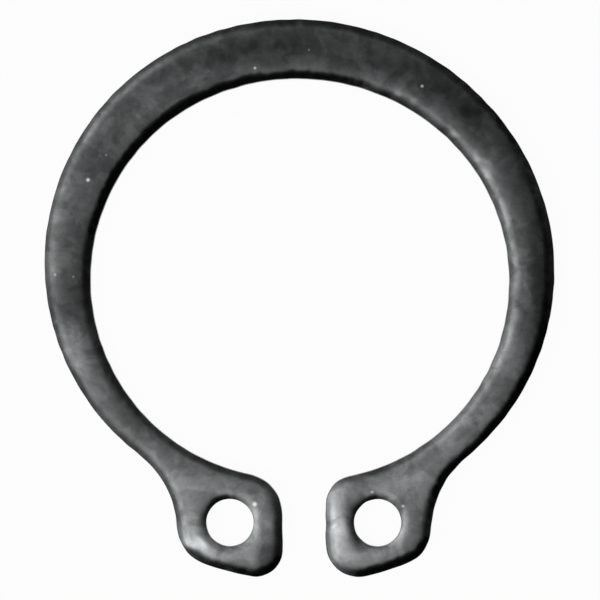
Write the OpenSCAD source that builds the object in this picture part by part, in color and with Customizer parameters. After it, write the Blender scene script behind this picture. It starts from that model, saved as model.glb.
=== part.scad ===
// External retaining ring (circlip) for a 17 mm shaft, blanked in one piece from spring steel strip.
// It lies flat with its sheared, sharp-edged face down. The seat's centre is at X = Y = 0, the back of the
// ring is towards +Y and the two plier lugs with their gap are towards -Y.
// The press rolls the top edges over all round. Every stretch of the outline is an arc or a straight, so
// each is made by turning or drawing the same rolled section along it, and the seat and the plier holes
// are turned cuts with a rolled rim.

/* [Ring] */
// Radius of the two arcs of the inner edge, which grips the shaft
seat_r = 7.77; // [6.4:0.01:10]
// Thickness of the strip
thick = 1; // [0.8:0.05:1.5]
// Radial width at the back, where the ring is widest
back_w = 2.14; // [1.8:0.02:2.6]
// Width that the right arm tapers to, straight below the seat's centre
right_tip_w = 1.36; // [0.9:0.01:1.8]
// Width that the left arm tapers to, straight below the seat's centre
left_tip_w = 0.8; // [0.6:0.01:1.5]

/* [Free form] */
// How far the centre of each arc of the seat stands out from the middle line, because the ring springs open
splay = 0.19; // [0.05:0.01:0.4]
// How much further out the centres of the arms' outer arcs stand
outer_splay = 0.16; // [0:0.01:0.3]
// How far the taper leans to the left of the seat
taper_lean = 0.16; // [0:0.01:0.3]
// How far the lugs stand to the right of the seat's middle line
lug_shift = 0.17; // [0:0.01:0.3]

/* [Lugs] */
// Distance between the centres of the two plier holes
hole_pitch = 5.64; // [5.2:0.02:6.2]
// How far below the seat's edge the plier holes' centres lie
hole_below = 1.49; // [1.4:0.01:1.8]
// Diameter of the plier holes
hole_d = 1.8; // [1.5:0.02:2.1]
// Width of the gap between the lugs
gap_w = 1.64; // [1.2:0.02:2]
// Height of the lugs, from the seat out to their crown
lug_h = 3.74; // [3.6:0.02:4.2]
// Wall between a plier hole and the lug's outer side
side_wall = 1.15; // [0.9:0.01:1.4]
// Angle by which a lug's outer side leans out towards the arm, in degrees
side_lean = 10.6; // [0:0.2:16]
// Rounding of the lug where the seat turns into the gap
throat_r = 1.06; // [0.8:0.02:1.3]
// Rounding of the lug where the gap turns into the crown
toe_r = 1.1; // [0.6:0.02:1.3]
// Rounding of the lug where the crown turns into the outer side
heel_r = 1.48; // [0.8:0.02:1.7]
// Hollow blend between the lug's outer side and the arm
blend_r = 2.7; // [1.6:0.05:3.2]

/* [Rolled edges] */
// How far the edge roll reaches in over the top face
roll_in = 0.3; // [0.1:0.01:0.4]
// How far the edge roll runs down the wall
roll_down = 0.24; // [0.1:0.01:0.4]
// How far the roll of a plier hole reaches out over the top face
hole_roll_in = 0.22; // [0.08:0.01:0.3]
// How far the roll of a plier hole runs down its wall
hole_roll_down = 0.18; // [0.08:0.01:0.3]

/* [Hidden] */
steel = "#6f7374";
hole_r = hole_d / 2;
hole_drop = seat_r + hole_below;
crown_r = seat_r + lug_h;
// Radius down to which the arms are solid steel before the seat is cut
stock_r = seat_r / 2;
// Length by which a cut runs past the faces it goes through
past = 1;
// Angle by which an arm runs on past the middle of the back, inside the other arm
run_on = 6;
// How much deeper than a rounding's centre the straights and the crown are sunk into the lug
bury = 0.1;
// How much further than it shows each rounding of the lug is turned, and the angle from which the throat's
// rounding is turned, well inside the arm
round_on = 22;
throat_from = 60;
// Depth of the corners that the lug's core has inside the blend
root_depth = 2 * roll_in;
// Share of the flat part of a rounding by which the lug's core reaches past the rounding's centre
core_share = 0.7;
// How far the stretches between the roundings stop short of the roundings' centres, so that no two of
// their end faces meet in one line; the same as an angle for the crown
tuck = 0.03;
tuck_turn = 0.2;
// How much each rounding stands proud of the edges it joins, and the blend stands under them, so that
// neighbouring surfaces cross and never merely graze
lap = 0.01;
// Steps round one edge roll, and round a whole turn
roll_steps = 4;
turn_steps = 180;

// Direction of a vector, in degrees
function angle_of(v) = atan2(v.y, v.x);
function along(a) = [cos(a), sin(a)];

// Point at distance r from c where the line from p along the unit vector d first meets it
function first_on_line(p, d, c, r) =
    let (w = p - c, b = w * d)
    p - d * (b + sqrt(b * b - w * w + r * r));

// Point below c, at distance r from c and at x across
function below(c, r, x) = [x, c.y - sqrt(r * r - pow(x - c.x, 2))];

// The two arms. Each is described as if it were the right one: the left one is mirrored when it is drawn.
// A side of 1 is the right arm and a side of -1 the left arm.
seat_centre = [splay, 0];
function tip_w(side) = side > 0 ? right_tip_w : left_tip_w;
function outer_r(side) = seat_r + (back_w + tip_w(side)) / 2;
function outer_centre(side) = [splay + outer_splay - side * taper_lean, seat_r + back_w - outer_r(side)];
function lug_centre(side) = [side * lug_shift, 0];
function hole_centre(side) = lug_centre(side) + [hole_pitch / 2, -hole_drop];

// Centres of the lug's roundings, each touching the two edges that it joins
function throat_centre(side) =
    below(seat_centre, seat_r + throat_r, lug_centre(side).x + gap_w / 2 + throat_r);
function toe_centre(side) =
    below(lug_centre(side), crown_r - toe_r, lug_centre(side).x + gap_w / 2 + toe_r);
side_out = along(-side_lean);
side_up = along(90 - side_lean);
function side_line(side, off) = hole_centre(side) + side_out * (hole_r + side_wall + off);
function heel_centre(side) =
    first_on_line(side_line(side, -heel_r), side_up, lug_centre(side), crown_r - heel_r);
function blend_centre(side) =
    first_on_line(side_line(side, blend_r), side_up, outer_centre(side), outer_r(side) + blend_r);

// Where the seat ends in the throat, and where the arm's outer edge ends in the blend
function seat_end(side) = angle_of(throat_centre(side) - seat_centre);
function blend_at(side) = angle_of(blend_centre(side) - outer_centre(side));

// Steps of an edge roll, a quarter of an oval, as [distance in from the wall, height]
function edge_roll(reach, drop) =
    [for (i = [0:roll_steps])
        let (a = 90 * i / roll_steps) [reach * (1 - cos(a)), thick - drop * (1 - sin(a))]];

// Section of solid steel from u = from out to a wall at u = wall, with a sharp foot and a rolled top edge
function rolled_section(from, wall) =
    concat([[from, 0], [wall, 0]],
        [for (step = edge_roll(roll_in, roll_down)) [wall - step[0], step[1]]],
        [[from, thick]]);

// Section of a cut out to a wall at u = wall, with the rolled rim at its top. The last step of the roll
// carries on past the top face, so that it crosses that face cleanly.
function cut_section(wall, reach, drop) =
    let (roll = edge_roll(reach, drop), last = roll[roll_steps], run = last - roll[roll_steps - 1])
    concat([[0, -past], [wall, -past]],
        [for (step = roll) [wall + step[0], step[1]]],
        [[wall + last[0] + run[0], last[1] + run[1]], [wall + last[0] + run[0], thick + past],
         [0, thick + past]]);

// Steel turned about c between the angles a0 and a1, from radius inner out to a rolled edge at radius outer
module turned(c, inner, outer, a0, a1) {
    translate(c)
        rotate_extrude(angle = a1 - a0, start = a0, $fn = turn_steps)
            polygon(rolled_section(inner, outer));
}

// A rounding of the lug, turned a little further than the angles a0 and a1 between which it shows
module rounding(c, r, a0, a1) {
    turned(c, 0, r + lap, a0 - round_on, a1 + round_on);
}

// A straight stretch of the outline, with its rolled edge on the left as one looks from p to q
module straight(p, q, depth) {
    translate(p)
        rotate(angle_of(q - p))
            translate([0, -depth, 0])
                rotate([90, 0, 90])
                    linear_extrude(norm(q - p))
                        polygon(rolled_section(0, depth));
}

// The hollow blend between the lug's side and the arm: a wedge from the blend's centre, cut out round it
module blend(side) {
    c = blend_centre(side);
    reach = blend_r + 2 * root_depth;
    difference() {
        linear_extrude(thick)
            polygon([c, c + reach * along(blend_at(side) + 180), c + reach * along(180 - side_lean)]);
        translate(c)
            rotate_extrude($fn = turn_steps)
                polygon(cut_section(blend_r + lap, roll_in, roll_down));
    }
}

// Corner of the lug's core, past the centre c of a rounding in the direction a
function core_corner(c, r, a) = c + core_share * (r - roll_in) * along(a);

// One arm with its lug, before the seat and the plier hole are cut
module arm_and_lug(side) {
    out = outer_centre(side);
    lug = lug_centre(side);
    throat = throat_centre(side);
    toe = toe_centre(side);
    heel = heel_centre(side);
    side_foot = heel + heel_r * side_out + tuck * side_up;
    side_head = blend_centre(side) - blend_r * side_out;
    arm_end = out + outer_r(side) * along(blend_at(side));
    turned(out, stock_r, outer_r(side), angle_of(throat - out), 90 + run_on);
    turned(lug, crown_r - heel_r - bury, crown_r,
        angle_of(toe - lug) + tuck_turn, angle_of(heel - lug) - tuck_turn);
    rounding(throat, throat_r, throat_from, 180);
    rounding(toe, toe_r, -180, angle_of(toe - lug));
    rounding(heel, heel_r, angle_of(heel - lug), -side_lean);
    straight(toe + [-toe_r, tuck], throat - [throat_r, tuck], max(toe_r, throat_r) + bury);
    straight(side_head + root_depth * side_up, side_foot, heel_r + bury);
    blend(side);
    linear_extrude(thick)
        polygon([core_corner(toe, toe_r, -135), core_corner(heel, heel_r, -45),
            side_head - root_depth * side_out, arm_end - root_depth * along(blend_at(side)),
            core_corner(throat, throat_r, seat_end(side) + 180)]);
}

// One arm's share of the seat, from the lug's throat to just past the middle of the back, where it crosses
// the other arm's share
module seat_cut(side) {
    start = seat_end(side) - run_on;
    translate(seat_centre)
        rotate_extrude(angle = 90 + run_on - start, start = start, $fn = turn_steps)
            polygon(cut_section(seat_r, roll_in, roll_down));
}

module plier_hole_cut(side) {
    translate(hole_centre(side))
        rotate_extrude($fn = turn_steps)
            polygon(cut_section(hole_r, hole_roll_in, hole_roll_down));
}

// Does a thing for the right side, and for the left side mirrored
module both_sides() {
    children(0);
    mirror([1, 0, 0]) children(1);
}

module retaining_ring() {
    color(steel)
        difference() {
            both_sides() { arm_and_lug(1); arm_and_lug(-1); }
            both_sides() { seat_cut(1); seat_cut(-1); }
            both_sides() { plier_hole_cut(1); plier_hole_cut(-1); }
        }
}

retaining_ring();
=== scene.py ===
# %% [markdown]
# # A spring steel retaining ring, looked straight down on
#
# The object is an external circlip: one flat piece of spring steel, blanked by a press, hardened and given
# a dark phosphate finish. It is widest at the back and tapers round to two lugs with a hole each for the
# pliers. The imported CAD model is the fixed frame. It says where the ring is and how big it is, and the
# looks are built on top of it. The shapes are worked out in millimetres, in which such parts are drawn, and
# turn into metres when the mesh is made.

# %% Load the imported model
import math
import bpy
import numpy as np
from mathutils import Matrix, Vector
from mathutils.geometry import delaunay_2d_cdt


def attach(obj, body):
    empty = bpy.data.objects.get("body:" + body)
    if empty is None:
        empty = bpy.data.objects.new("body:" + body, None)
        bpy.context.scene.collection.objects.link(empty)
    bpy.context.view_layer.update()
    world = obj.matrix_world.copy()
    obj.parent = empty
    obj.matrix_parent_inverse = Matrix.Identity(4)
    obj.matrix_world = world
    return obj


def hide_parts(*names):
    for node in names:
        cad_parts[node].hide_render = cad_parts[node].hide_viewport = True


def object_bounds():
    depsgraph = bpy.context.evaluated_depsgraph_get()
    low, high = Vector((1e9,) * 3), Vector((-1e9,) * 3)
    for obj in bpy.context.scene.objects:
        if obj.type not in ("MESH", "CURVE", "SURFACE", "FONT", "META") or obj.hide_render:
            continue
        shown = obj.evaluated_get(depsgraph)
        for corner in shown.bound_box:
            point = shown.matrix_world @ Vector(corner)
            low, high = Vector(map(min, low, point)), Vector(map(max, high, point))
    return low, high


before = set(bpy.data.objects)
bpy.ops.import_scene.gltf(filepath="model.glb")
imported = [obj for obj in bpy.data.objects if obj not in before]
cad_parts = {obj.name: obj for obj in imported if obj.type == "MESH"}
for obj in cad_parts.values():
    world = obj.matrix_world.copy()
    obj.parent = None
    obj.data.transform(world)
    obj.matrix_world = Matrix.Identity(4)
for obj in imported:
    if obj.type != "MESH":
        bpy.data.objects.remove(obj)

cad_low, cad_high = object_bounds()
MM = 0.001
THICK = cad_high.z / MM
print("CAD box, mm:", [round(v / MM, 3) for v in (*cad_low, *cad_high)])

# %% [markdown]
# # The two sides in numbers
#
# A press tool is drawn with arcs that touch each other, so the outline is made the same way. Each side has
# an arc for the seat, which grips the shaft, one for the outer edge of the arm, and five for the lug: the
# throat, where the seat turns into the gap, then the toe, the crown, the heel and the hollow blend back to
# the arm. A wider arc at the back joins the arms, inside and outside. The two sides have their own numbers,
# because a sprung, tumbled ring is never quite even. Both are written as right sides, and the left one is
# flipped when it is drawn.

# %% Dimensions of the two sides, in millimetres and degrees
BACK_IN_R = 8.388    # radius of the inner edge at the back of the ring
BACK_OUT_R = 10.057  # radius of the outer edge there
HOLE_Y = -9.26       # height at which gap_x, the gap's side, and side_x, the lug's outer side, are measured
RIGHT = dict(
    seat=(0.440, -0.045), seat_r=7.566, arm=(0.519, 0.364), arm_r=9.218,
    crown=(-0.181, 0.0), crown_r=11.629, gap_x=0.990, gap_lean=0.02, side_x=5.052, side_lean=7.57,
    throat_r=1.123, toe_r=1.261, heel_r=1.341, blend_r=3.660, hole=(2.980, -9.257))
LEFT = dict(
    seat=(0.388, 0.046), seat_r=7.602, arm=(0.502, 0.675), arm_r=9.252,
    crown=(-0.189, 0.0), crown_r=11.493, gap_x=0.660, gap_lean=-1.15, side_x=4.705, side_lean=2.31,
    throat_r=1.504, toe_r=1.031, heel_r=1.602, blend_r=3.692, hole=(2.665, -9.250))
FLIP = np.array([-1.0, 1.0])
print("gap between the lugs, mm:", round(RIGHT["gap_x"] + LEFT["gap_x"], 2))
print("pitch of the plier holes, mm:", round(RIGHT["hole"][0] + LEFT["hole"][0], 3))

# %% [markdown]
# # Where the lug's small arcs are centred
#
# Nothing is traced. A small arc that touches two edges has its centre at its own radius from both. One of
# the two is always a straight side of the lug, so the centre lies on that side's line moved over by the
# radius, and at a known distance from the centre of the seat, the arm or the crown. Each centre is then the
# point where a line meets a circle, and every joint comes out tangent.

# %% Centres of the lug's arcs
def along(degrees):
    """Unit vector at an angle from +X."""
    a = np.radians(degrees)
    return np.array([np.cos(a), np.sin(a)])


def line_meets_circle(p, d, c, r):
    """First point p + t d at distance r from c: t = -b - sqrt(b^2 - w^2 + r^2), with w = p - c, b = w.d."""
    w = p - c
    b = w @ d
    return p + d * (-b - math.sqrt(b * b - w @ w + r * r))


def lug_centres(side):
    """Centres of throat, toe, heel and blend, each at its own radius from the two edges that it touches."""
    up, into = along(90 + side["gap_lean"]), along(side["gap_lean"])
    out, out_up = along(-side["side_lean"]), along(90 - side["side_lean"])
    gap, flank = np.array([side["gap_x"], HOLE_Y]), np.array([side["side_x"], HOLE_Y])
    seat, arm, crown = (np.array(side[k]) for k in ("seat", "arm", "crown"))
    throat = line_meets_circle(gap + into * side["throat_r"], up, seat, side["seat_r"] + side["throat_r"])
    toe = line_meets_circle(gap + into * side["toe_r"], up, crown, side["crown_r"] - side["toe_r"])
    heel = line_meets_circle(flank - out * side["heel_r"], out_up, crown, side["crown_r"] - side["heel_r"])
    blend = line_meets_circle(flank + out * side["blend_r"], out_up, arm, side["arm_r"] + side["blend_r"])
    return throat, toe, heel, blend


print("right throat, toe, heel and blend at:", [c.round(2).tolist() for c in lug_centres(RIGHT)])

# %% [markdown]
# # One arc across the back
#
# At the back both arms run into one wider arc, and it touches each of them from outside. So its centre lies
# at the difference of the two radii from each arm's centre, which is where two circles meet. The lower of
# their two points is the right one, because the wide arc is centred below the arms.

# %% Centres of the back arcs
def circles_meet(c1, r1, c2, r2):
    """Lower point at r1 from c1 and r2 from c2: along the line of centres by a = (r1^2 - r2^2 + d^2) / 2d,
    and square to it by h = sqrt(r1^2 - a^2)."""
    d = c2 - c1
    far = math.hypot(*d)
    a = (r1 * r1 - r2 * r2 + far * far) / (2 * far)
    h = math.sqrt(r1 * r1 - a * a)
    m, n = c1 + a * d / far, np.array([-d[1], d[0]]) / far * h
    return min(m + n, m - n, key=lambda p: p[1])


def back_centre(kind, radius):
    """Centre of the back arc of a radius that both seats, or both arms, touch from inside."""
    return circles_meet(np.array(RIGHT[kind]), radius - RIGHT[kind + "_r"],
                        np.array(LEFT[kind]) * FLIP, radius - LEFT[kind + "_r"])


back_in, back_out = back_centre("seat", BACK_IN_R), back_centre("arm", BACK_OUT_R)
print("back arcs centred at:", back_in.round(2), back_out.round(2))

# %% [markdown]
# # The whole outline
#
# Two circles touch on the line through their centres, so that line's angle says where one arc hands over to
# the next. The arcs of a side follow each other from the outer back round the lug to the inner back, and
# the left side is drawn the same way, flipped, and joined on in reverse, which closes the loop.

# %% Draw the outline
DRAWN_STEP = 0.02


def angle(v):
    """Angle of a vector from +X, in degrees."""
    return math.degrees(math.atan2(v[1], v[0]))


def side_arcs(side, back_in, back_out):
    """The arcs of a side as (centre, radius, from, to), from the outer back round the lug to the inner."""
    seat, arm, crown = (np.array(side[k]) for k in ("seat", "arm", "crown"))
    throat, toe, heel, blend = lug_centres(side)
    out, into = along(-side["side_lean"]), along(side["gap_lean"])
    return [
        (back_out, BACK_OUT_R, 90, angle(arm - back_out)),
        (arm, side["arm_r"], angle(arm - back_out), angle(blend - arm)),
        (blend, side["blend_r"], angle(arm - blend) % 360, angle(-out) % 360),
        (heel, side["heel_r"], angle(out), angle(heel - crown)),
        (crown, side["crown_r"], angle(heel - crown), angle(toe - crown)),
        (toe, side["toe_r"], angle(toe - crown), angle(into) - 180),
        (throat, side["throat_r"], angle(into) + 180, angle(seat - throat) % 360),
        (seat, side["seat_r"], angle(throat - seat), angle(seat - back_in)),
        (back_in, BACK_IN_R, angle(seat - back_in), 90)]


def draw_arcs(arcs):
    """Points along the arcs, c + r (cos a, sin a), about one step apart."""
    drawn = []
    for c, r, a0, a1 in arcs:
        n = max(2, int(abs(math.radians(a1 - a0)) * r / DRAWN_STEP))
        a = np.radians(np.linspace(a0, a1, n))
        drawn.append(np.column_stack([c[0] + r * np.cos(a), c[1] + r * np.sin(a)]))
    return np.vstack(drawn)


right = draw_arcs(side_arcs(RIGHT, back_in, back_out))
left = draw_arcs(side_arcs(LEFT, back_in * FLIP, back_out * FLIP)) * FLIP
outline = np.vstack([right, left[::-1]])
print("outline:", len(outline), "points, box", outline.min(0).round(3), outline.max(0).round(3))

# %% [markdown]
# # Evenly spaced points that know their way in
#
# The rolled edge is a profile carried along the outline, so each point needs the direction into the steel.
# The loop is first spaced out evenly, with numpy's interp on its running length, and smoothed a little,
# which eases the places where one arc hands over to the next. The direction then comes from the neighbours
# on both sides. The smoothing is done on the loop's Fourier terms, because that is exact on a closed loop.

# %% Even spacing, smoothing and inward directions
EDGE_POINTS = 2400
EASE_POINTS = 3  # width of the smoothing, in points


def respace(loop, n):
    """n points at even distances along a closed loop."""
    closed = np.vstack([loop, loop[:1]])
    run = np.concatenate([[0], np.cumsum(np.hypot(*np.diff(closed, axis=0).T))])
    at = np.linspace(0, run[-1], n, endpoint=False)
    return np.column_stack([np.interp(at, run, closed[:, 0]), np.interp(at, run, closed[:, 1])])


def smooth_loop(values, width):
    """Gaussian mean round a loop, done on its Fourier terms: each is scaled by exp(-(k width)^2 / 2)."""
    k = 2 * np.pi * np.fft.fftfreq(len(values))[:, None]
    return np.fft.ifft(np.fft.fft(values, axis=0) * np.exp(-(k * width) ** 2 / 2), axis=0).real


def inward(loop):
    """Unit normals of a clockwise loop: the running direction turned by a right angle to the right."""
    d = np.roll(loop, -1, axis=0) - np.roll(loop, 1, axis=0)
    d /= np.hypot(*d.T)[:, None]
    return np.column_stack([d[:, 1], -d[:, 0]])


edge = smooth_loop(respace(outline, EDGE_POINTS), EASE_POINTS)
print("edge length, mm:", round(float(np.hypot(*np.diff(edge, axis=0).T).sum()), 2))

# %% [markdown]
# # An edge that wanders a little
#
# Blanked and tumbled steel is never true to a hundredth of a millimetre, and a perfect edge would look
# drawn. The edge wanders by a sum of sine waves that each fit a whole number of times round the loop, so it
# closes. The draws are seeded, so the ring comes out the same on each run.

# %% Seeded waves along a loop
rng = np.random.default_rng(17)
EDGE_LENGTH = 116.5  # length of the edge in millimetres, rounded; it sets how many waves fit
WANDER = 0.006       # height of the waves in millimetres


def waves_along(n, length, shortest, longest, count, rng):
    """Sum of up to count sines round a loop of the given length, each with a whole number of waves."""
    turns = np.unique(rng.integers(int(length / longest), int(length / shortest), count))
    phase = rng.uniform(0, 2 * np.pi, len(turns))
    t = np.linspace(0, 2 * np.pi, n, endpoint=False)
    return np.sin(t[:, None] * turns + phase).sum(1) / math.sqrt(len(turns))


wander = WANDER * waves_along(EDGE_POINTS, EDGE_LENGTH, 0.6, 6, 40, rng)
edge += inward(edge) * wander[:, None]
print("edge wanders by up to, mm:", np.abs(wander).max().round(4))

# %% [markdown]
# # The rolled section
#
# The press draws the top edge down before it shears it, and tumbling with stones rounds it further, so the
# top has a soft slope all round that ends in a small round nose. A bevel modifier gives one even radius,
# but this slope is long, eases off to nothing and is steepest at the wall. So it is a formula of u, the
# distance in from the wall. Its grade is grade / (1 + exp((u - reach) / ease)), even near the edge and
# fading beyond reach, and its height is the integral of that. The nose is a quarter circle. The wall flares
# a little towards its sharp foot, as a sheared wall does.

# %% Loops of the rolled section, in millimetres
# reach, ease and grade of the slope, where it ends, and the radius of the nose
OUTLINE_ROLL = dict(reach=0.225, grade=0.69, ease=0.078, end=0.45, nose=0.018)
HOLE_ROLL = dict(reach=0.19, grade=0.55, ease=0.085, end=0.40, nose=0.018)
FLARE = 0.008  # how far the top of the wall stands back from the edge
WALL = [(0.012, 0.0), (0.0, 0.03), (0.003, 0.3), (FLARE, 0.62)]  # distance in and height, from the foot up
NOSE_STEPS, SLOPE_STEPS = 7, 10


def roll_height(u, reach, grade, ease, nose, end):
    """Depth of the top below the face at u in from the wall. It is grade ease ln(1 + exp((reach - u) / ease))
    less its value and its grade at u = end, where it meets the face level, plus the quarter circle."""
    slope = grade * ease * np.log1p(np.exp((reach - u) / ease))
    slope = slope - grade * ease * np.log1p(np.exp((reach - end) / ease))
    slope = slope - grade / (1 + np.exp((end - reach) / ease)) * (end - u)
    v = np.clip(nose - u, 0, nose)
    return slope + nose - np.sqrt(nose ** 2 - v ** 2)


def section_loops(loop, roll, wider):
    """Loops of points from the foot of the wall up over the roll to where the flat begins."""
    into = inward(smooth_loop(loop, EASE_POINTS))
    loops = [np.column_stack([loop + into * inset, np.full(len(loop), z)]) for inset, z in WALL]
    turn = np.linspace(0, np.pi / 2, NOSE_STEPS)
    steps = roll["nose"] * (1 - np.cos(turn))
    steps = np.concatenate([steps, np.linspace(roll["nose"], roll["end"], SLOPE_STEPS + 1)[1:]])
    for u in steps:
        down = roll_height(u, roll["reach"] * wider, roll["grade"], roll["ease"], roll["nose"], roll["end"])
        loops.append(np.column_stack([loop + into * (FLARE + u), THICK - down]))
    return loops


print("depth of the roll at the wall, mm:", round(float(roll_height(0.0, **OUTLINE_ROLL)), 3))

# %% [markdown]
# # The roll along the outline
#
# How far a roll reaches depends on the gap between punch and die, and that gap is never the same all round.
# So the reach is a factor that changes along the edge: seeded waves, short and long, and three broad places
# where this ring's roll is wider or narrower. A place is a bell curve of the angle round the ring, on the
# inner or on the outer edge.

# %% Roll the outline
SEAT_WITHIN = 8.7  # the inner edge lies nearer to the middle than this, and the arms' outer edge further
bearing = np.degrees(np.arctan2(edge[:, 1], edge[:, 0])) % 360
on_seat = np.hypot(*edge.T) < SEAT_WITHIN


def near(middle, spread, start=0):
    """exp(-(a / spread)^2), with a the angle from the middle in degrees, for angles counted up from start."""
    a = (bearing - start) % 360 + start - middle
    return np.exp(-(a / spread) ** 2)


wider = 1 + 0.04 * waves_along(EDGE_POINTS, EDGE_LENGTH, 0.7, 3, 60, rng)
wider += 0.09 * waves_along(EDGE_POINTS, EDGE_LENGTH, 2, 12, 30, rng)
wider += 0.20 * on_seat * near(150, 40)
wider += 0.22 * ~on_seat * near(5, 22, start=-180)
wider -= 0.14 * ~on_seat * near(318, 22)
outer_loops = section_loops(edge, OUTLINE_ROLL, wider)
print("reach of the roll, mm:", (OUTLINE_ROLL["reach"] * np.array([wider.min(), wider.max()])).round(3))
print("height of the wall, mm:", round(float(outer_loops[len(WALL)][:, 2].mean()), 3))

# %% [markdown]
# # The plier holes
#
# The holes are pierced in the same blow and have a rolled rim too, a little smaller. A rim is a circle run
# the other way round, so that its inward side is again the steel, and the same section runs along it.

# %% Roll the rims of the holes
HOLE_R, HOLE_POINTS = 0.901, 220
RIM_LENGTH = 5.6  # length round a hole in millimetres, rounded; it sets how many waves fit
RIM_WANDER, RIM_UNEVEN = 0.003, 0.15


def hole_loops(side, flip):
    """Loops over the rim of a side's hole, which is c + r (cos a, sin a) with seeded waves."""
    a = np.linspace(0, 2 * np.pi, HOLE_POINTS, endpoint=False)
    centre = np.array(side["hole"]) * flip
    rim = centre + HOLE_R * np.column_stack([np.cos(a), np.sin(a)])
    rim += inward(rim) * (RIM_WANDER * waves_along(HOLE_POINTS, RIM_LENGTH, 0.4, 3, 6, rng))[:, None]
    wider = 1 + RIM_UNEVEN * waves_along(HOLE_POINTS, RIM_LENGTH, 1.0, 3, 5, rng)
    return section_loops(rim, HOLE_ROLL, wider)


rims = [hole_loops(RIGHT, np.ones(2)), hole_loops(LEFT, FLIP)]
print("hole across, mm:", [round(float(np.ptp(rim[1][:, 0])), 3) for rim in rims])

# %% [markdown]
# # Bare specks
#
# Here and there the coat is chipped and bright steel shows, in specks of a tenth of a millimetre. They come
# before the top is filled, because the mesh has to be fine where a speck lies: its brightness is kept on
# the mesh's points. So each speck gets rings of points round it.

# %% Place the specks
SPECKS = np.array([
    (-8.08, 3.84, 0.066, 1.00), (-1.71, 8.11, 0.050, 0.50), (-7.39, 4.79, 0.045, 0.25),
    (4.67, 7.42, 0.055, 0.80), (-1.71, -8.53, 0.085, 0.60), (2.76, -8.07, 0.055, 0.35),
    (3.94, -8.61, 0.045, 0.40), (0.35, 8.80, 0.040, 0.25), (-9.34, 0.22, 0.050, 0.30),
    (-8.64, 0.14, 0.040, 0.22)])  # x, y, radius in millimetres and brightness
SPECK_RINGS, RING_POINTS = (0.25, 0.5, 0.8, 1.15, 1.6), 10  # radii in shares of the speck's own


def speck_points():
    """Rings of points round each speck, c + radius share (cos a, sin a), each turned against the last."""
    turn = np.arange(RING_POINTS) * 2 * np.pi / RING_POINTS
    around = [np.column_stack([r * np.cos(turn + k), r * np.sin(turn + k)])
              for k, r in enumerate(SPECK_RINGS)]
    around = np.vstack([[[0.0, 0.0]]] + around)
    return (SPECKS[:, None, :2] + SPECKS[:, None, 2:3] * around).reshape(-1, 2)


print("specks:", len(SPECKS), "with points:", len(speck_points()))

# %% [markdown]
# # Which points lie in the steel
#
# The flat of the top is bounded by three loops, the outline's last one and those of the two holes, and the
# foot by the first ones. A point is inside a loop when a line from it to the right crosses the loop an odd
# number of times. That test needs no library and works on whole arrays of points.

# %% Tell steel from air
BLOCK = 1500   # points tested at a time, so that the arrays fit in memory
LEVEL = 1e-12  # keeps an edge that lies level from dividing by zero


def inside(points, loop):
    """Even-odd test: counts how many edges of the loop lie to the right of each point."""
    hit = np.zeros(len(points), bool)
    a, b = loop, np.roll(loop, -1, axis=0)
    for start in range(0, len(points), BLOCK):
        p = points[start:start + BLOCK]
        spans = (a[None, :, 1] > p[:, None, 1]) != (b[None, :, 1] > p[:, None, 1])
        x = a[:, 0] + (p[:, None, 1] - a[:, 1]) * (b[:, 0] - a[:, 0]) / (b[:, 1] - a[:, 1] + LEVEL)
        hit[start:start + BLOCK] = (spans & (p[:, None, 0] < x)).sum(1) % 2 == 1
    return hit


def in_steel(points, loops):
    """True inside the first loop and outside the others."""
    keep = inside(points, loops[0])
    for hole in loops[1:]:
        keep &= ~inside(points, hole)
    return keep


all_loops = [outer_loops] + rims
tops, feet = ([loops[k][:, :2] for loops in all_loops] for k in (-1, 0))
print("points round specks that lie on the flat:", int(in_steel(speck_points(), tops).sum()))

# %% [markdown]
# # Points for the top
#
# The top is a face with two holes in it, which no grid of two parameters fits. It gets a honeycomb of
# points instead, with the specks' own points among them. Points that lie in a hole or too near to a border
# are left out, because they would make slivers.

# %% Spread points over the top
GRID = 0.11         # spacing of the honeycomb in millimetres
BORDER_SHARE = 0.6  # room kept to the borders, in spacings
SPECK_SHARE = 0.5   # room kept to the specks' points, in spacings
SPECK_ROOM = 0.02   # room that a speck's points keep to the borders, in millimetres


def clear_of(points, others, gap):
    """True where a point is further than the gap from all the others."""
    keep = np.ones(len(points), bool)
    for start in range(0, len(points), BLOCK):
        p = points[start:start + BLOCK]
        keep[start:start + BLOCK] = ((p[:, None, :] - others[None]) ** 2).sum(2).min(1) > gap * gap
    return keep


def honeycomb(loops, spacing):
    """Rows of points, each moved by half a spacing against the last and sqrt(3) / 2 spacings above it."""
    low, high = loops[0].min(0), loops[0].max(0)
    x, y = np.arange(low[0], high[0], spacing), np.arange(low[1], high[1], spacing * math.sqrt(3) / 2)
    gx, gy = np.meshgrid(x, y)
    gx = gx + (np.arange(len(y)) % 2)[:, None] * spacing / 2
    points, fine = np.column_stack([gx.ravel(), gy.ravel()]), speck_points()
    border = np.vstack(loops)[::3]  # every third point is close enough to measure from
    points = points[in_steel(points, loops)]
    points = points[clear_of(points, border, spacing * BORDER_SHARE)]
    fine = fine[in_steel(fine, loops) & clear_of(fine, border, SPECK_ROOM)]
    return np.vstack([points[clear_of(points, fine, spacing * SPECK_SHARE)], fine])


comb = honeycomb(tops, GRID)
print("points on the top:", len(comb))

# %% [markdown]
# # Filling the top and the foot
#
# A constrained Delaunay fill joins points by triangles that are as even as can be, and never crosses the
# borders that it is given. It covers the holes too, so the triangles whose middle lies in a hole are left
# out. The foot is flat and unseen, and is filled between its borders alone.

# %% Fill between loops
SAME_POINT = 1e-7  # points nearer to each other than this, in millimetres, would become one


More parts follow.
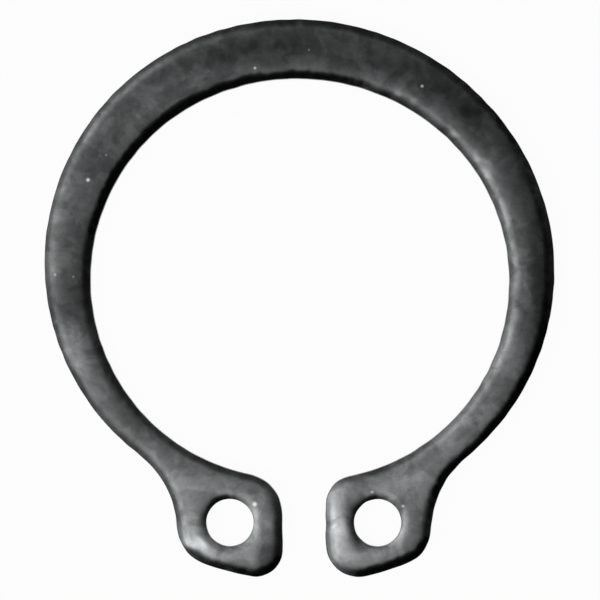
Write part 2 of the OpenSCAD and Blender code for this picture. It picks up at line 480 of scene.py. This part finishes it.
def fill(loops, extra):
    """Triangles over the steel between the loops, as rows of numbers of the loops' and the extra points."""
    points = np.vstack(loops + [extra])
    edges, start = [], 0
    for loop in loops:
        i = np.arange(len(loop))
        edges.append(np.column_stack([i, (i + 1) % len(loop)]) + start)
        start += len(loop)
    points_2d, edges = [Vector(p) for p in points.tolist()], np.vstack(edges).tolist()
    out = delaunay_2d_cdt(points_2d, edges, [], 0, SAME_POINT)
    given = np.array([origin[0] for origin in out[3]])  # the number that each point of the fill had before
    faces = given[np.array(out[2])]
    return faces[in_steel(points[faces].mean(1), loops)]


top_fill, foot_fill = fill(tops, comb), fill(feet, np.zeros((0, 2)))
print("triangles on the top:", len(top_fill), "and on the foot:", len(foot_fill))

# %% [markdown]
# # Join the loops and the fills into one mesh
#
# Quads run between neighbouring loops like courses of bricks, and the fills use the points of the last and
# the first loop, so nothing has to be merged and the surface is closed. A face points to the side from
# which its corners run anticlockwise, so the foot's triangles, which look down, are turned over.

# %% Number the points and make the faces
def number_loops(all_loops):
    """A grid of point numbers for each set of loops, with a row for each loop, counted on from set to set."""
    grids, start = [], 0
    for loops in all_loops:
        grids.append(start + np.arange(len(loops) * len(loops[0])).reshape(len(loops), -1))
        start += grids[-1].size
    return grids, start


def skin(grid):
    """Quads between neighbouring rows of point numbers. The last point of a row is joined to its first."""
    here, beside = grid, np.roll(grid, -1, axis=1)
    return np.stack([beside[:-1], here[:-1], here[1:], beside[1:]], axis=2).reshape(-1, 4)


grids, count = number_loops(all_loops)
comb_ids = count + np.arange(len(comb))
top_ids = np.concatenate([grid[-1] for grid in grids] + [comb_ids])
foot_ids = np.concatenate([grid[0] for grid in grids])
comb_verts = np.column_stack([comb, np.full(len(comb), THICK)])
verts = np.vstack([np.vstack(loops) for loops in all_loops] + [comb_verts])
quads = np.vstack([skin(grid) for grid in grids])
tris = np.vstack([top_ids[top_fill], foot_ids[foot_fill][:, ::-1]])
print("mesh:", len(verts), "points,", len(quads), "quads,", len(tris), "triangles")

# %% [markdown]
# # The face is slightly domed
#
# Near a sheared edge the whole face sags, further in than the roll itself reaches, and on a narrow limb the
# sag of both edges meets and makes a dome. The sag of a point is worked out from all of the edge at once:
# it is the sum, over short stretches ds at distance r, of depth width^2 / 2 ds / (r^2 + width^2)^1.5.
# Beside a long straight edge at distance d that comes to depth width^2 / (d^2 + width^2). A formula of the
# distance to the nearest edge would be shorter, but it leaves a crease in the middle of the limb.
#
# The top also has faint swells of a few thousandths of a millimetre, which only a reflection shows. They
# are plane waves of seeded directions. The highest point of the top stays at the strip's full thickness.

# %% Sag and swell, in millimetres
SAG_WIDTH, EDGE_SAG, HOLE_SAG = 0.50, 0.145, 0.013  # width, and the depths at the outline and the holes
SWELLS = [(0.0045, 1.4, 7, 50), (0.0012, 0.35, 1.2, 60)]  # height, shortest and longest wave, how many
SINKS_FROM, SINKS_OVER = 0.5, 0.3  # in the wall the sag fades in over this part of the thickness


def waves_over(points, shortest, longest, count, rng):
    """Sum of count plane sines over the plane, with wavelengths between the two given, in millimetres."""
    wave = np.exp(rng.uniform(math.log(shortest), math.log(longest), count))
    turn, phase = rng.uniform(0, 2 * np.pi, (2, count))
    k = 2 * np.pi / wave * np.array([np.cos(turn), np.sin(turn)])
    return np.sin(points @ k + phase).sum(1) / math.sqrt(count)


def sag(points, border, ds):
    """The sum in the text above for depth 1."""
    out = np.empty(len(points))
    for start in range(0, len(points), BLOCK):
        r2 = ((points[start:start + BLOCK, None, :] - border[None]) ** 2).sum(2)
        out[start:start + BLOCK] = (ds * SAG_WIDTH ** 2 / 2 / (r2 + SAG_WIDTH ** 2) ** 1.5).sum(1)
    return out


def relief(xy):
    """How far the top lies below the plane of the face: the sag of every edge and the swells."""
    down = EDGE_SAG * sag(xy, edge, EDGE_LENGTH / EDGE_POINTS)
    for rim in rims:
        down += HOLE_SAG * sag(xy, rim[1][:, :2], 2 * np.pi * HOLE_R / HOLE_POINTS)
    for height, shortest, longest, count in SWELLS:
        down += height * waves_over(xy, shortest, longest, count, rng)
    return down


on_top = verts[:, 2] > THICK / 2
lowered = relief(verts[on_top, :2])
lowered -= lowered.min()
verts[on_top, 2] -= lowered * np.clip((verts[on_top, 2] / THICK - SINKS_FROM) / SINKS_OVER, 0, 1)
print("top lowered by up to, mm:", lowered.max().round(3))

# %% [markdown]
# # The mesh object
#
# from_pydata takes the arrays as lists, in metres from here on. Smooth shading blends the faces' normals,
# and the sharp foot needs no edge marks because it has a narrow row of faces of its own.

# %% Make the mesh object
def make_piece(name, verts, face_arrays):
    """A mesh object at the origin from points in millimetres and arrays of faces."""
    mesh = bpy.data.meshes.new(name)
    mesh.from_pydata((verts * MM).tolist(), [], [f for faces in face_arrays for f in faces.tolist()])
    mesh.validate()
    mesh.shade_smooth()
    piece = bpy.data.objects.new(name, mesh)
    bpy.context.scene.collection.objects.link(piece)
    return piece


ring = make_piece("ring_surface", verts, [quads, tris])
print("ring_surface:", len(ring.data.polygons), "faces, mm:", [round(s / MM, 2) for s in ring.dimensions])

# %% [markdown]
# # Stains, worn places, painted highlights and painted shade
#
# On a real ring the phosphate is thin where stones have rubbed it and thick where the bath or the oil
# stood. Most marks are such places, put where this ring has them; some are painted light instead: painted
# highlights on the lugs' left and lower left edges, and painted shade along the left lug's lower edge, at
# its lower right corner and in the crescent on the left of the right hole. Each is a soft oval: its
# strength is how much paler (+) or darker (-) it is, as a natural logarithm, because tones multiply. The
# points are pushed about by seeded waves first, so that no oval has a clean border.

# %% Marks on the coat, with painted highlights and painted shade among them
# x, y, half length, half width in millimetres, direction in degrees, strength
MARKS_AND_PAINTED_LIGHT = [
    # left lug; painted highlights at (-4.00, -9.95) and (-3.28, -10.40) on its lower left edge, painted shade
    # at (-3.70, -10.68) along its lower edge and at (-1.18, -10.56) on its lower right corner
    (-4.30, -7.10, 0.50, 0.30, -30, -0.20), (-4.19, -8.19, 0.42, 0.36, 60, 0.22),
    (-4.00, -9.95, 0.44, 0.20, -48, 0.75), (-3.70, -10.68, 1.25, 0.16, -33, -1.00),
    (-3.28, -10.40, 0.70, 0.16, -30, 0.50), (-1.33, -9.22, 0.55, 0.22, 90, 0.20),
    (-1.18, -10.56, 0.44, 0.34, 40, -0.95),
    # right lug; painted highlight at (1.42, -9.60) on its left edge, painted shade at (2.02, -9.10),
    # (2.12, -8.50) and (2.22, -9.98) in the crescent on the left of its hole
    (1.42, -9.60, 0.80, 0.24, 88, 0.35), (2.02, -9.10, 0.46, 0.22, 96, -0.80),
    (2.12, -8.50, 0.40, 0.18, 47, -0.60), (2.22, -9.98, 0.32, 0.26, -45, -1.20),
    (2.76, -7.39, 1.30, 0.20, 12, -0.45), (3.83, -8.61, 0.36, 0.20, 75, -0.70),
    (3.93, -9.10, 0.50, 0.10, 85, -0.50), (4.60, -7.20, 1.00, 0.45, 35, 0.16),
    (5.40, -7.20, 0.50, 0.25, 60, 0.28),
    # left arm
    (-9.00, -0.60, 0.85, 0.75, 95, -0.38), (-8.75, -0.40, 0.80, 0.60, 95, -0.20),
    (-8.58, -2.65, 0.95, 0.42, 107, 0.35), (-8.45, -0.90, 0.55, 0.30, 92, -0.25),
    (-7.92, -4.40, 0.45, 0.22, -52, -0.28), (-6.36, -5.55, 0.65, 0.24, -45, -0.35),
    # right arm
    (8.35, -0.50, 0.70, 0.22, 93, -0.25), (8.72, -1.90, 1.20, 0.38, 99, -0.45),
    (9.10, -0.17, 2.10, 0.26, 92, -0.62), (9.15, 2.60, 1.10, 0.20, 106, -0.35),
    # back
    (-7.60, 5.15, 0.60, 0.30, 55, -0.12), (-6.60, 5.55, 0.95, 0.30, 50, 0.22),
    (-5.95, 6.45, 1.05, 0.36, 45, 0.36), (-5.40, 7.86, 0.80, 0.26, 40, -0.34),
    (-4.60, 7.25, 0.90, 0.38, 35, 0.28), (-3.35, 7.80, 0.95, 0.26, 25, 0.25),
    (-2.62, 8.72, 1.15, 0.36, 10, -0.48), (-0.70, 8.45, 1.25, 0.28, -2, -0.30),
    (-0.56, 8.99, 0.85, 0.30, 0, -0.22), (2.99, 8.26, 0.85, 0.26, -15, -0.32),
    (3.75, 7.20, 0.18, 0.09, -30, 0.55), (4.00, 6.52, 1.60, 0.17, -31, -0.75),
    (4.10, 7.03, 0.18, 0.10, -30, 0.55), (4.40, 6.82, 0.20, 0.11, -35, 0.75),
    (5.25, 7.25, 0.46, 0.22, -30, -0.60), (5.93, 5.63, 0.26, 0.15, -45, 0.80),
    (6.45, 5.20, 0.80, 0.26, -50, 0.26), (6.50, 6.43, 0.46, 0.22, -45, -0.60),
    (6.82, 4.72, 0.26, 0.15, -55, 0.35), (7.07, 4.29, 0.60, 0.20, -58, 0.35),
    (7.26, 4.98, 0.60, 0.40, -55, 0.30), (7.35, 3.60, 1.30, 0.30, -64, 0.24),
    (7.85, 5.85, 0.95, 0.14, 127, -0.75)]
MARK_PUSH = 0.10  # how far the points are pushed about, in millimetres
MARK_FALL, MARK_EDGE = 0.7, 1.5  # how soon and how sharply a mark ends


def marks_and_painted_light(xy):
    """Sum of strength exp(-fall (a^2 + b^2)^edge), with a and b the distances along and across a mark in
    half lengths and half widths."""
    push = np.column_stack([waves_over(xy, 0.5, 2.5, 30, rng), waves_over(xy, 0.5, 2.5, 30, rng)])
    at = xy + MARK_PUSH * push
    total = np.zeros(len(xy))
    for x, y, length, width, turn, strength in MARKS_AND_PAINTED_LIGHT:
        d, t = at - (x, y), along(turn)
        a, b = d @ t / length, (d[:, 1] * t[0] - d[:, 0] * t[1]) / width
        total += strength * np.exp(-MARK_FALL * (a ** 2 + b ** 2) ** MARK_EDGE)
    return total


marked_and_painted_light = marks_and_painted_light(verts[:, :2])
print("marks:", len(MARKS_AND_PAINTED_LIGHT), "tone from", marked_and_painted_light.min().round(2), "to", marked_and_painted_light.max().round(2))

# %% [markdown]
# # Painted light falloff over the ring
#
# The tone is painted darker at the back and paler towards the lugs, and the corners differ: painted light
# and shade, for light that falls off across the face. A plane and a second order surface of x and y
# describe such a slow change with few numbers. They are in centimetres, so that both are about 1 at the
# rim and the numbers can be compared.

# %% Painted light falloff
FALLOFF_X, FALLOFF_Y, FALLOFF_XY, FALLOFF_XX, FALLOFF_YY = 0.02, -0.35, -0.28, -0.29, -0.06
MEAN_SQUARE = 0.4  # of x and of y over the ring, in square centimetres


def painted_falloff(xy):
    """Logarithm of how much paler the painted light falloff makes the tone than its mean: a factor each for
    x, y, x y, and for x^2 and y^2 less their mean."""
    x, y = xy.T / 10
    square = FALLOFF_XX * (x * x - MEAN_SQUARE) + FALLOFF_YY * (y * y - MEAN_SQUARE)
    return FALLOFF_X * x + FALLOFF_Y * y + FALLOFF_XY * x * y + square


# painted light falloff: darker at the back, paler towards the lugs
painted_falloff_tone = painted_falloff(verts[:, :2])
print("slow change of tone, from", painted_falloff_tone.min().round(2), "to", painted_falloff_tone.max().round(2))

# %% [markdown]
# # Painted light and shade on the slopes
#
# On this ring the slopes of the rolled edge are pale on some sides and nearly black on others, more than
# soft lamps alone would make them, so the rest is painted into the colour: painted highlight on the slopes
# that face the lamps at the left, painted shade on those that face away to the lower right. Its tone is
# worked out from the way that the surface faces: a wave of first and second order in the normal's x and y,
# broken up by seeded waves, so that the painted light ends raggedly. A short table then turns the wave into
# a tone, in which the dark side drops faster than the bright side rises. The painted light fades out where
# the surface turns steep, so the wall keeps its own tone.

# %% Painted light and shade on the slopes
SLOPE_LIGHT_X, SLOPE_LIGHT_Y, SLOPE_LIGHT_XX_YY, SLOPE_LIGHT_2XY = -1.25, 3.03, 1.29, 3.81  # factors of the terms in the wave
SLOPE_LIGHT_BREAK = 0.16  # how strongly the seeded waves break the film up
SLOPE_LIGHT_WAVE = [-2.6, -1.5, -0.9, -0.6, 0, 0.8]
SLOPE_LIGHT_TONE = [-3.0, -2.5, -0.80, -0.45, 0, 0.8]
HIGHLIGHT_FROM, HIGHLIGHT_OVER = 0.80, 0.08  # the normal's z at which the painted highlight begins, and over how much
SHADE_FROM, SHADE_OVER = 0.70, 0.16      # the same for the painted shade


def painted_slope_light(piece):
    """Logarithm of the painted light and shade on the slopes: the table's value at a sum of x, y, x^2 - y^2
    and 2 x y of the normal, each times its factor, and times the fade over the normal's z."""
    normals = np.empty(len(piece.data.vertices) * 3, np.float32)
    piece.data.vertices.foreach_get("normal", normals)
    x, y, z = normals.reshape(-1, 3).T
    # where the wave is above zero the tone is a painted highlight, below zero it is painted shade
    wave = SLOPE_LIGHT_X * x + SLOPE_LIGHT_Y * y + SLOPE_LIGHT_XX_YY * (x * x - y * y) + SLOPE_LIGHT_2XY * 2 * x * y
    wave = wave * (1 + SLOPE_LIGHT_BREAK * waves_over(verts[:, :2], 0.25, 1.6, 60, rng))
    tone = np.interp(wave, SLOPE_LIGHT_WAVE, SLOPE_LIGHT_TONE)
    bright, dark = (z - HIGHLIGHT_FROM) / HIGHLIGHT_OVER, (z - SHADE_FROM) / SHADE_OVER
    return tone * np.clip(np.where(tone > 0, bright, dark), 0, 1)


# painted highlight and painted shade on the slopes, by the way each point faces
painted_slope_tone = painted_slope_light(ring)
print("film: bright on", int((painted_slope_tone > 0.1).sum()), "points and dark on", int((painted_slope_tone < -0.1).sum()))

# %% [markdown]
# # Tone and chips kept on the mesh
#
# A material can read a number that is kept on each point of the mesh, so the tone and the bare specks go
# there as attributes. They follow the surface exactly. Then the piece is tied to the imported model: it
# rides on the only body and stands for the CAD ring, which is hidden.

# %% Attributes and body
def keep_on(piece, name, values):
    """Keeps one number for each point of the piece, under a name."""
    layer = piece.data.attributes.new(name, "FLOAT", "POINT")
    layer.data.foreach_set("value", values.astype(np.float32))


# A speck's brightness falls off as exp(-(distance / radius)^4), so it has a flat middle and a soft rim
away = np.hypot(*(verts[:, None, :2] - SPECKS[None, :, :2]).transpose(2, 0, 1)) / SPECKS[:, 2]
bare = (SPECKS[:, 3] * np.exp(-away ** 4)).sum(1) * on_top
# The tone is partly stains and wear and partly painted light: the painted falloff over the ring, the painted
# highlights and shade among the marks, and the painted highlight and shade on the slopes.
tone = painted_falloff_tone + marked_and_painted_light + painted_slope_tone
keep_on(ring, "tone_and_painted_light", tone)
keep_on(ring, "chips", bare)
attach(ring, "root")
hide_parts("retaining_ring")
print("tone: mean", tone.mean().round(3), "and points that are bare:", int((bare > 0.1).sum()))

# %% [markdown]
# # Small helpers for nodes
#
# A procedural material is a net of nodes. Written out, each node takes several lines, so one helper makes a
# node and feeds its inputs, each with a value or with a link, whichever it is given. Noise is asked for in
# blobs to a millimetre, the unit of this part.

# %% Helpers for nodes
def new_material(name):
    """A material with its node tree and its main shader."""
    m = bpy.data.materials.new(name)
    m.use_nodes = True
    return m, m.node_tree, m.node_tree.nodes["Principled BSDF"]


def feed(tree, node, inputs):
    """Sets each named or numbered input of a node, or links it where it is given another node's output."""
    for socket, value in inputs.items():
        if isinstance(value, bpy.types.NodeSocket):
            tree.links.new(value, node.inputs[socket])
        else:
            node.inputs[socket].default_value = value
    return node


def add(tree, kind, inputs, **settings):
    """A new node. Its settings are made first, because they decide which inputs it has."""
    node = tree.nodes.new("ShaderNode" + kind)
    for name, value in settings.items():
        setattr(node, name, value)
    return feed(tree, node, inputs)


def maths(tree, operation, *values):
    """The output of a Math node over the values or outputs given."""
    return add(tree, "Math", dict(enumerate(values)), operation=operation).outputs[0]


def noise(tree, place, per_mm, detail, distortion=0.0):
    """Noise from 0 to 1 with per_mm blobs to a millimetre and detail finer layers on them."""
    inputs = {"Vector": place, "Scale": per_mm, "Detail": detail, "Distortion": distortion}
    return add(tree, "TexNoise", inputs).outputs["Fac"]


print("helpers:", [helper.__name__ for helper in (new_material, feed, add, maths, noise)])

# %% [markdown]
# # Dark phosphated steel
#
# Phosphate is a thin crust of crystals grown on the steel and soaked in oil. It looks like a dark metal: it
# mirrors soft light, but blurred and dim. So the shader is fully metallic with a dark colour. What makes it
# real is that nothing is even: patches with borders, clouds, flecks and grain of ever smaller size all
# change the tone. They are added to the tone kept on the mesh as logarithms, and one exponential turns the
# sum into a factor of the colour. The same flecks make the gloss and the bump, so they agree with the tone.

# %% Material of the ring
COAT_A, COAT_B = (0.1175, 0.1215, 0.1205, 1), (0.117, 0.120, 0.1235, 1)  # two tints, greener and bluer
BARE_STEEL = (0.90, 0.89, 0.87, 1)
PATCH_FROM, PATCH_TO = 0.455, 0.545  # the part of the clouds' range that makes the patches' borders
PATCHES, CLOUDS, FLECKS, GRAIN = 0.30, 0.35, 0.8, 0.35  # strength of each in the tone
ROUGH, ROUGH_FLECKS = 0.325, 0.14
BUMP, BUMP_HEIGHT, BUMP_GRAIN = 0.35, 0.01 * MM, 0.35


def dark_phosphate():
    """Colour = tint exp(kept tone + sum of strength (texture - 0.5)), mixed with bare steel by the chips. The
    kept tone holds stains and wear, and also painted light and painted shade.
    """
    m, tree, steel = new_material("dark_phosphate")
    at = add(tree, "TexCoord", {}).outputs["Object"]
    in_mm = add(tree, "VectorMath", {0: at, "Scale": 1 / MM}, operation="SCALE").outputs[0]
    # the kept tone brings painted highlights and painted shade as well as stains and wear
    tone_and_painted_light, chips = (add(tree, "Attribute", {}, attribute_name=kept).outputs["Fac"]
                   for kept in ("tone_and_painted_light", "chips"))
    clouds, flecks, grain = (noise(tree, in_mm, *sizes) for sizes in ((0.8, 4, 0.6), (3.2, 5, 0.3), (13, 3)))
    borders = {"Value": clouds, "From Min": PATCH_FROM, "From Max": PATCH_TO}
    patches = add(tree, "MapRange", borders, interpolation_type="SMOOTHSTEP").outputs["Result"]
    tone = tone_and_painted_light
    for texture, strength in ((patches, PATCHES), (clouds, CLOUDS), (flecks, FLECKS), (grain, GRAIN)):
        tone = maths(tree, "MULTIPLY_ADD", maths(tree, "SUBTRACT", texture, 0.5), strength, tone)
    tints = {"A": COAT_A, "B": COAT_B, "Factor": noise(tree, in_mm, 0.5, 2, 0.5)}
    tint = add(tree, "Mix", tints, data_type="RGBA").outputs["Result"]
    paint = {0: tint, "Scale": maths(tree, "EXPONENT", tone)}
    painted = add(tree, "VectorMath", paint, operation="SCALE").outputs[0]
    chipped = {"A": painted, "B": BARE_STEEL, "Factor": chips}
    height = maths(tree, "MULTIPLY_ADD", noise(tree, in_mm, 28, 2), BUMP_GRAIN, flecks)
    bump = {"Strength": BUMP, "Distance": BUMP_HEIGHT, "Height": height}
    feed(tree, steel, {
        "Metallic": 1.0,
        "Base Color": add(tree, "Mix", chipped, data_type="RGBA").outputs["Result"],
        "Roughness": maths(tree, "MULTIPLY_ADD", flecks, ROUGH_FLECKS, ROUGH),
        "Normal": add(tree, "Bump", bump).outputs[0]})
    return m


ring.data.materials.append(dark_phosphate())
print("dark_phosphate:", len(ring.data.materials[0].node_tree.nodes), "nodes")

# %% [markdown]
# # A white floor that still shows the shadow
#
# The ring lies on plain white. If lamps had to make the floor white, they would burn out the steel, so the
# floor is a pale matt surface that also glows, but only for rays that come from the camera or from a
# reflection. The light that falls on the ring stays the same, and the steel mirrors the white. A small rest
# of the matt surface is left in the mix, and it carries the ring's shadow.

# %% Floor
FLOOR_HALF = 3.0  # in metres, so that its edge is never in view
GLOW = 0.96       # share of the glow in what such a ray sees


def pale_floor():
    """Matt grey mixed with white glow, by the glow's share where a camera, glossy or transmission ray sees
    it, and by nothing elsewhere."""
    m, tree, matt = new_material("pale_floor")
    feed(tree, matt, {"Base Color": (0.8, 0.8, 0.8, 1), "Roughness": 0.9, "Specular IOR Level": 0.0})
    path = add(tree, "LightPath", {}).outputs
    seen = maths(tree, "MAXIMUM", path["Is Camera Ray"], path["Is Glossy Ray"])
    seen = maths(tree, "MAXIMUM", seen, path["Is Transmission Ray"])
    glow = add(tree, "Emission", {}).outputs[0]
    mix = add(tree, "MixShader", {0: maths(tree, "MULTIPLY", seen, GLOW), 1: matt.outputs[0], 2: glow})
    feed(tree, tree.nodes["Material Output"], {"Surface": mix.outputs[0]})
    return m


corners = FLOOR_HALF / MM * np.array([(-1, -1, 0), (1, -1, 0), (1, 1, 0), (-1, 1, 0)])
floor = make_piece("floor", corners, [np.array([(0, 1, 2, 3)])])
floor.data.materials.append(pale_floor())
print("floor, m:", [round(s, 1) for s in floor.dimensions])

# %% [markdown]
# # Soft light from the left and from below
#
# A metal shows its lamps as reflections, so the lamps are wide and soft, and their places decide which
# slopes of the rolled edge are lit. Here the slopes that face left are bright and those that face the lower
# right are dark, so most lamps stand to the left, near and far, with one over the lugs and a faint, distant
# one at the upper right. A lamp is given by the light that it makes on the ring, because that stays when it
# is moved.

# %% Lights
# Place in millimetres, and irradiance at the ring
LAMPS = {
    "side_left": ((-74.5, -64.4, 133.3), 0.80),
    "low_left": ((-73.0, 52.3, 79.6), 0.62),
    "high_left": ((-21.5, -10.0, 49.7), 0.37),
    "under_lugs": ((5.6, -22.3, 50.0), 0.62),
    "upper_right": ((60.3, 176.6, 353.8), 0.11),
    "far_left": ((-180.0, 20.0, 90.0), 0.30)}
LAMP_WIDTH = 0.7  # in distances from the ring
WORLD = (0.01, 0.01, 0.01, 1)


def soft_light(name, place, irradiance):
    """A square lamp that looks at the origin. A lamp of power P at distance d gives P / (pi d^2) there, so
    P = pi d^2 times the irradiance."""
    at = Vector(place) * MM
    lamp = bpy.data.lights.new(name, "AREA")
    lamp.shape, lamp.size = "SQUARE", LAMP_WIDTH * at.length
    lamp.energy = math.pi * at.length_squared * irradiance
    o = bpy.data.objects.new(name, lamp)
    o.location = at
    o.rotation_euler = (-at).to_track_quat("-Z", "Y").to_euler()
    o.visible_camera = False
    bpy.context.scene.collection.objects.link(o)
    return lamp


for name, (place, irradiance) in LAMPS.items():
    print(name, "watts:", round(soft_light(name, place, irradiance).energy, 4))
world = bpy.data.worlds.new("studio")
world.use_nodes = True
world.node_tree.nodes["Background"].inputs["Color"].default_value = WORLD
bpy.context.scene.world = world

# %% [markdown]
# # Looking straight down
#
# A part like this is pictured from straight above, and from far away, so that its wall hardly shows. The
# lens follows from the width of the picture at the ring: width / distance is the same as the sensor's width
# over the focal length.

# %% Camera
FRAME_WIDTH = 22.90          # width of the picture at the ring, in millimetres
LOOK_AT = (0.0101, -0.7443)  # the point in the middle of the picture, in millimetres
DISTANCE = 400.0             # from the ring's top, in millimetres
SENSOR = 36
camera_data = bpy.data.cameras.new("camera")
camera_data.sensor_width = SENSOR
camera_data.lens = SENSOR * DISTANCE / FRAME_WIDTH
camera_data.clip_start, camera_data.clip_end = 0.01, 10
camera = bpy.data.objects.new("camera", camera_data)
camera.location = (LOOK_AT[0] * MM, LOOK_AT[1] * MM, (DISTANCE + THICK) * MM)
bpy.context.scene.collection.objects.link(camera)
bpy.context.scene.camera = camera
bpy.context.scene.view_settings.view_transform = "Standard"
print("lens, mm:", round(camera_data.lens, 1))
